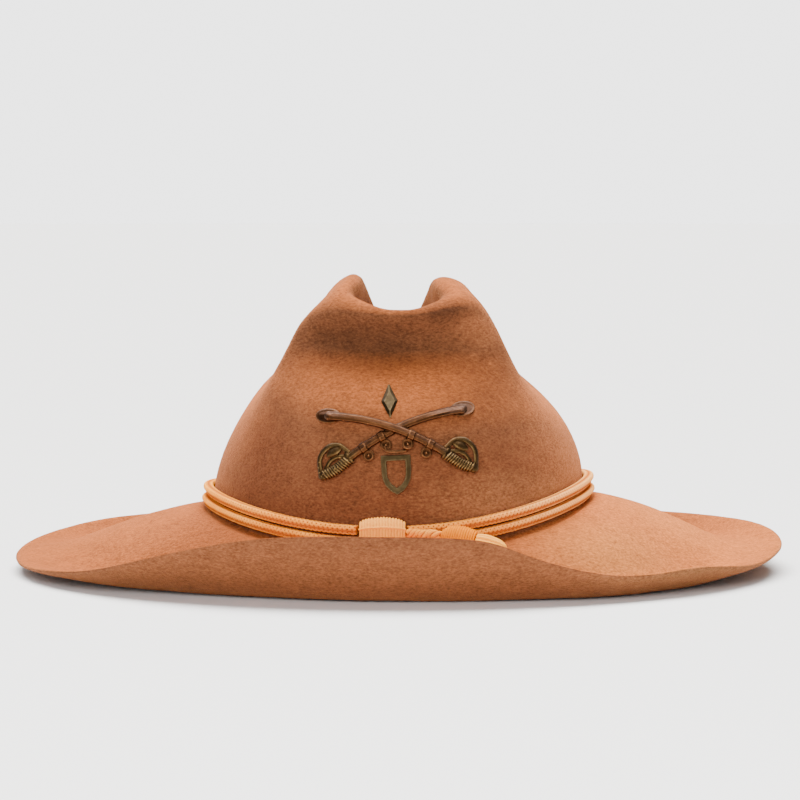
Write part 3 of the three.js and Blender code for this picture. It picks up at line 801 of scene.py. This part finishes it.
def nut_lines(profile, start, axis):
    """Threads along a nut's turned profile, side by side all round its axis."""
    line = smooth_line([Vector((along, radius, 0.0)) for along, radius in profile], NUT_STEP)
    side = axis.orthogonal().normalized()
    across = axis.cross(side)
    lines = []
    for thread in range(NUT_THREADS):
        turn = math.tau * thread / NUT_THREADS
        out = math.cos(turn) * side + math.sin(turn) * across
        places = []
        for place in line:
            radius = max(NUT_TIP_ROOM, place.y - NUT_THREAD_SINK)
            places.append(start + place.x * axis + radius * out)
        lines.append(places)
    return lines


def ply_lines(line):
    """Plies twisted round a line."""
    frames = line_frames(line)
    lines = []
    for ply in range(TAIL_PLIES):
        places = []
        for index, (place, (side, up)) in enumerate(zip(line, frames)):
            turn = math.tau * (index * TAIL_STEP / TAIL_PITCH + ply / TAIL_PLIES)
            places.append(place + PLY_RADIUS * (math.cos(turn) * side + math.sin(turn) * up))
        lines.append(places)
    return lines


for end in ("upper", "lower"):
    cap_corners = solid_corners("acorn_cap_" + end)
    nut_corners = solid_corners("acorn_nut_" + end)
    tail_corners = solid_corners("tail_" + end)
    axis = (middle(nut_corners) - middle(cap_corners)).normalized()
    start = middle(cap_corners)

    cap = [ring for ring in turned_profile(cap_corners, start, axis) if ring[1] > CAP_END]
    cap_shape = spun(wound_profile(cap, CAP_PITCH, CAP_RIDGE), start, axis)
    print("cap", end, len(cap_shape.faces), "faces")
    shape_piece("acorn_cap_" + end + "_winding", cap_shape, cap_thread, ["acorn_cap_" + end])

    threads = nut_lines(turned_profile(nut_corners, start, axis), start, axis)
    nut_mesh = yarn_mesh("nut_" + end, threads, NUT_THREAD_RADIUS)
    print("nut", end, len(nut_mesh.polygons), "faces")
    mesh_piece("acorn_nut_" + end + "_threads", nut_mesh, nut_thread, ["acorn_nut_" + end])

    tail_line = smooth_line(ring_middles(tail_corners, lambda corner: corner.x), TAIL_STEP)
    tail_mesh = yarn_mesh("tail_" + end, ply_lines(tail_line), PLY_RADIUS)
    # Painted shade: the plies' low corners, where they lie against each other, get the dark colour.
    store_heights(tail_mesh, tail_line, 2 * PLY_RADIUS)
    print("tail", end, round(line_length(tail_line) / MM), "mm")
    mesh_piece("tail_" + end + "_cord", tail_mesh, cord_yarn, ["tail_" + end])

# %% [markdown]
# The badge is cast bronze. Its brown patina is redder on the scabbards, golden on the hilts and olive on
# the two ornaments, and has worn off the high spots, which the Pointiness of the fine mesh finds.

# %% Bronze finishes
GILT_PLACES = ((-0.031, -0.07, 0.0565), (0.030, -0.07, 0.0555))
GILT_SIZE = (0.015, 0.08, 0.014)
GILT_TIMES = (1.05, 1.5, 1.4)
PATINA_SIZE = 6 * MM
GRAIN_SIZE = 1.2 * MM


def bronze_finish(name, low, high, wear_or_painted_shading, gilded):
    """Patina between two colours, worn to a third on the high spots, with a golden cast in some places."""
    finish = Finish(name, roughness=0.5, metallic=1.0)
    patina = finish.noise(PATINA_SIZE, detail=5.0, roughness=0.65)
    grain = finish.noise(GRAIN_SIZE, detail=3.0)
    wear = finish.ramp(finish.raised(), (0.505, BLACK), (0.57, grey(0.8)))
    colour = finish.mix(wear, finish.ramp(patina, (0.3, low), (0.7, high)), wear_or_painted_shading)
    for place in gilded:
        amount = finish.ramp(finish.patch(place, GILT_SIZE), (0.0, BLACK), (0.3, WHITE))
        colour = finish.mix(amount, colour, finish.times(colour, GILT_TIMES))
    finish.colour(colour)
    finish.roughness(finish.ramp(grain, (0.3, grey(0.38)), (0.7, grey(0.6))))
    finish.bump(grain, depth=0.0002, strength=0.4)
    return finish


bronze = bronze_finish(
    "brown_bronze",
    low=(0.024, 0.0088, 0.0034, 1.0),
    high=(0.066, 0.024, 0.0085, 1.0),
    wear_or_painted_shading=(0.34, 0.15, 0.060, 1.0),
    gilded=GILT_PLACES,
)
olive = bronze_finish(
    "olive_bronze",
    low=(0.022, 0.014, 0.0055, 1.0),
    high=(0.046, 0.030, 0.013, 1.0),
    wear_or_painted_shading=(0.20, 0.14, 0.068, 1.0),
    gilded=(),
)
print(bronze.material.name, olive.material.name)

# %% [markdown]
# The sabres are drawn flat in millimetres, right and up from the badge's middle, and then laid against
# the crown: every corner moves back until it stands off the felt by its own height. Both sabres come from
# one drawing, once as it is and once mirrored and lifted over the first.

# %% Badge drawing
BADGE_MIDDLE = Vector((-1.2, 0.0, 69.4)) * MM
BADGE_TILT = math.radians(-3)
BADGE_GAP = 0.2 * MM
TOWARDS = Vector((0.0, -1.0, 0.0))
OVAL_STEPS = 24
KNOB_SIDES = 20
KNOB_RINGS = 12
AHEAD_OF_HAT = 1.0


def flat(right, up, stand):
    """A place on the drawing, in millimetres: right, up and towards the viewer."""
    return Vector((right, -stand, up)) * MM


def oval(centre, along, half_length, half_width):
    """A closed oval that lies flat on the drawing."""
    across = along.cross(TOWARDS)
    places = []
    for step in range(OVAL_STEPS + 1):
        turn = math.tau * step / OVAL_STEPS
        out = half_length * math.cos(turn) * along + half_width * math.sin(turn) * across
        places.append(centre + out * MM)
    return places


def add_wires(shape, lines, radius):
    """Adds round wires along some lines."""
    wires = yarn_mesh("wires", lines, radius * MM)
    shape.from_mesh(wires)
    bpy.data.meshes.remove(wires)


def add_knob(shape, place, along, radii):
    """Adds a rounded knob with its own half sizes along, towards the viewer and across."""
    axes = Matrix((along, TOWARDS, along.cross(TOWARDS))).transposed().to_4x4()
    sizes = Matrix.Diagonal((*(radius * MM for radius in radii), 1.0))
    matrix = Matrix.Translation(place) @ axes @ sizes
    bmesh.ops.create_uvsphere(
        shape,
        u_segments=KNOB_SIDES,
        v_segments=KNOB_RINGS,
        radius=1.0,
        matrix=matrix,
    )


def lay_on_crown(shape):
    """Lays a flat drawing against the front of the crown."""
    place = Matrix.Translation(BADGE_MIDDLE) @ Matrix.Rotation(BADGE_TILT, 4, "Y")
    bmesh.ops.transform(shape, matrix=place, verts=shape.verts)
    for vertex in shape.verts:
        start = Vector((vertex.co.x, -AHEAD_OF_HAT, vertex.co.z))
        felt_place = felt_wall.ray_cast(start, -TOWARDS)[0]
        vertex.co.y += felt_place.y - BADGE_GAP


print("badge middle", BADGE_MIDDLE)

# %% [markdown]
# Each sabre is sheathed: a bent scabbard with an oval shoe at its tip, two bands that carry ringed discs,
# and a hilt with a wire-bound grip, a bow, a branch and a leaf. Sculpting would give such forms too, but
# wires and knobs along a drawing are easy to measure. Lengths here are in millimetres, and a size with
# three numbers is half a knob's length, thickness and width.

# %% Sabre sizes
SCABBARD = ((-20.8, -11.8), (3.4, 5.2), (31.0, 6.0))
SCABBARD_STEPS = 24
BAND_SHARES = (0.128, 0.29)
GRIP = ((-20.8, -12.4), (-27.0, -16.8), (-32.6, -19.3))
BOW = ((-20.9, -9.6), (-25.0, -6.6), (-29.8, -7.2), (-33.5, -11.6), (-33.6, -18.4))
BRANCH = ((-21.2, -11.2), (-25.8, -11.4), (-29.4, -13.4), (-32.0, -18.2))
BRACKET = ((-5.4, -7.4), (-3.8, -9.7), (3.8, -9.7), (5.4, -7.4))
ROD_RADIUS = 1.85
ROD_END = (2.1, 1.85, 1.85)
SHOE_BACK = 2.0
SHOE_SINK = 0.6
SHOE_SIZE = (5.2, 0.5, 2.7)
BAND_HALF_LENGTH = 1.2
BAND_RADIUS = 2.25
RING_DROP = 4.0
RING_RADIUS = 1.8
RING_WIRE = 0.75
RING_PLATE = (1.8, 0.3, 1.8)
RING_BOSS = (0.6, 0.9, 0.6)
GUARD_SIZE = (1.4, 1.7, 3.0)
GRIP_RADIUS = 1.7
WRAP_PITCH = 1.1
WRAP_STEPS = 12
WRAP_RADIUS = 0.42
WRAP_ACROSS = 2.1
WRAP_STAND = 1.9
WRAP_SLANT = 0.6
BOW_RADIUS = 1.1
BRANCH_RADIUS = 0.9
LEAF_PLACE = (-27.2, -9.2)
LEAF_TURN = math.radians(30)
LEAF_SIZE = (3.8, 1.4, 1.8)
POMMEL_SIZE = (2.0, 1.7, 2.0)
POMMEL_RIM = 1.3
POMMEL_RISE = 0.9
BEND_STEP = 0.8
STANDS = {1: 1.7, -1: 2.9}
BRACKET_STAND = 1.9
BRACKET_RADIUS = 0.75
print("scabbards stand off the felt by", STANDS)

# %% [markdown]
# The scabbard follows a curve with one bend, so the place and the direction at any share of it come from
# three corners. Bands, discs and shoe follow that direction, and the hilt starts at the first corner.

# %% Sabres


def drawn(points, side, stand):
    """Places of the sabre's drawing, mirrored for side -1."""
    return [flat(side * right, up, stand) for right, up in points]


def along_scabbard(corners, share):
    """Place and direction at a share of the scabbard's curve."""
    guard, bend, tip = corners
    start = guard.lerp(bend, share)
    end = bend.lerp(tip, share)
    return start.lerp(end, share), (end - start).normalized()


def add_scabbard(shape, corners):
    """Adds the rod of a scabbard and the oval shoe at its tip."""
    bend, tip = corners[1:]
    rod = [along_scabbard(corners, step / SCABBARD_STEPS)[0] for step in range(SCABBARD_STEPS)]
    add_wires(shape, [rod], ROD_RADIUS)
    pointing = (tip - bend).normalized()
    add_knob(shape, rod[-1], pointing, ROD_END)
    shoe = tip - (SHOE_BACK * pointing + SHOE_SINK * TOWARDS) * MM
    shoe_length, shoe_rim, shoe_width = SHOE_SIZE
    add_wires(shape, [oval(shoe, pointing, shoe_length, shoe_width)], shoe_rim)
    add_knob(shape, shoe, pointing, SHOE_SIZE)


def add_bands(shape, corners):
    """Adds the bands of a scabbard, each with a ringed disc below it."""
    for share in BAND_SHARES:
        place, along = along_scabbard(corners, share)
        down = along.cross(TOWARDS)
        down = -down if down.z > 0 else down
        half_band = BAND_HALF_LENGTH * MM * along
        add_wires(shape, [[place - half_band, place + half_band]], BAND_RADIUS)
        ring = place + RING_DROP * MM * down
        add_wires(shape, [oval(ring, along, RING_RADIUS, RING_RADIUS)], RING_WIRE)
        add_knob(shape, ring, along, RING_PLATE)
        add_knob(shape, ring, along, RING_BOSS)


def grip_wraps(grip, side):
    """Half turns of wire over the front of a grip."""
    wraps = []
    for start, end in zip(grip[1:], grip[2:]):
        along = (end - start).normalized()
        across = along.cross(TOWARDS)
        wrap = []
        for step in range(WRAP_STEPS + 1):
            turn = math.pi * step / WRAP_STEPS
            slant = WRAP_ACROSS * across + WRAP_SLANT * side * along
            wrap.append(start + (math.cos(turn) * slant + WRAP_STAND * math.sin(turn) * TOWARDS) * MM)
        wraps.append(wrap)
    return wraps


def add_hilt(shape, corners, side, stand):
    """Adds a guard, a wire-bound grip, its bow, branch and leaf, and a pommel."""
    guard, bend = corners[:2]
    outward = (guard - bend).normalized()
    add_knob(shape, guard, outward, GUARD_SIZE)
    grip = smooth_line(drawn(GRIP, side, stand), WRAP_PITCH * MM)
    add_wires(shape, [grip], GRIP_RADIUS)
    add_wires(shape, grip_wraps(grip, side), WRAP_RADIUS)
    add_wires(shape, [smooth_line(drawn(BOW, side, stand), BEND_STEP * MM)], BOW_RADIUS)
    add_wires(shape, [smooth_line(drawn(BRANCH, side, stand), BEND_STEP * MM)], BRANCH_RADIUS)
    leaf = Vector((side * math.cos(LEAF_TURN), 0.0, math.sin(LEAF_TURN)))
    add_knob(shape, drawn([LEAF_PLACE], side, stand)[0], leaf, LEAF_SIZE)
    add_knob(shape, grip[-1], outward, POMMEL_SIZE)
    pommel_top = grip[-1] + POMMEL_RISE * MM * TOWARDS
    add_wires(shape, [oval(pommel_top, outward, POMMEL_RIM, POMMEL_RIM)], WRAP_RADIUS)


sabres_shape = bmesh.new()
for side, stand in STANDS.items():
    corners = drawn(SCABBARD, side, stand)
    add_scabbard(sabres_shape, corners)
    add_bands(sabres_shape, corners)
    add_hilt(sabres_shape, corners, side, stand)
bracket = drawn(BRACKET, 1, BRACKET_STAND)
add_wires(sabres_shape, [smooth_line(bracket, BEND_STEP * MM)], BRACKET_RADIUS)
lay_on_crown(sabres_shape)
print("sabres drawn with", len(sabres_shape.verts), "corners")

# %% [markdown]
# The sabres are soldered together and the two plain ornaments are cast on their own. Joining wires and
# knobs by Booleans would leave sharp seams, so voxel remeshing fuses them into one skin, and a little
# smoothing rounds every joint as solder does. The ornaments' solids get the same soft edges.

# %% Castings
CAST_GRAIN = 0.23 * MM
ORNAMENT_SINK = 0.4 * MM


def cast(name, shape, finish, node):
    """Fuses a shape into one soft-edged casting that stands for a solid."""
    mesh = bpy.data.meshes.new(name)
    shape.to_mesh(mesh)
    shape.free()
    holder = bpy.data.objects.new(name, mesh)
    bpy.context.scene.collection.objects.link(holder)
    fusing = holder.modifiers.new("fusing", "REMESH")
    fusing.mode = "VOXEL"
    fusing.voxel_size = CAST_GRAIN
    fusing.use_smooth_shade = True
    softening = holder.modifiers.new("softening", "SMOOTH")
    softening.factor = 0.5
    softening.iterations = 2
    casting = finished_mesh(holder)
    print(name, len(casting.polygons), "faces")
    return mesh_piece(name, casting, finish, [node])


cast("sabres_casting", sabres_shape, bronze, "sabres")
for node in ("upper_ornament", "lower_ornament"):
    shape = solid_copy(node)
    bmesh.ops.translate(shape, verts=shape.verts, vec=(0.0, ORNAMENT_SINK, 0.0))
    cast(node + "_casting", shape, olive, node)
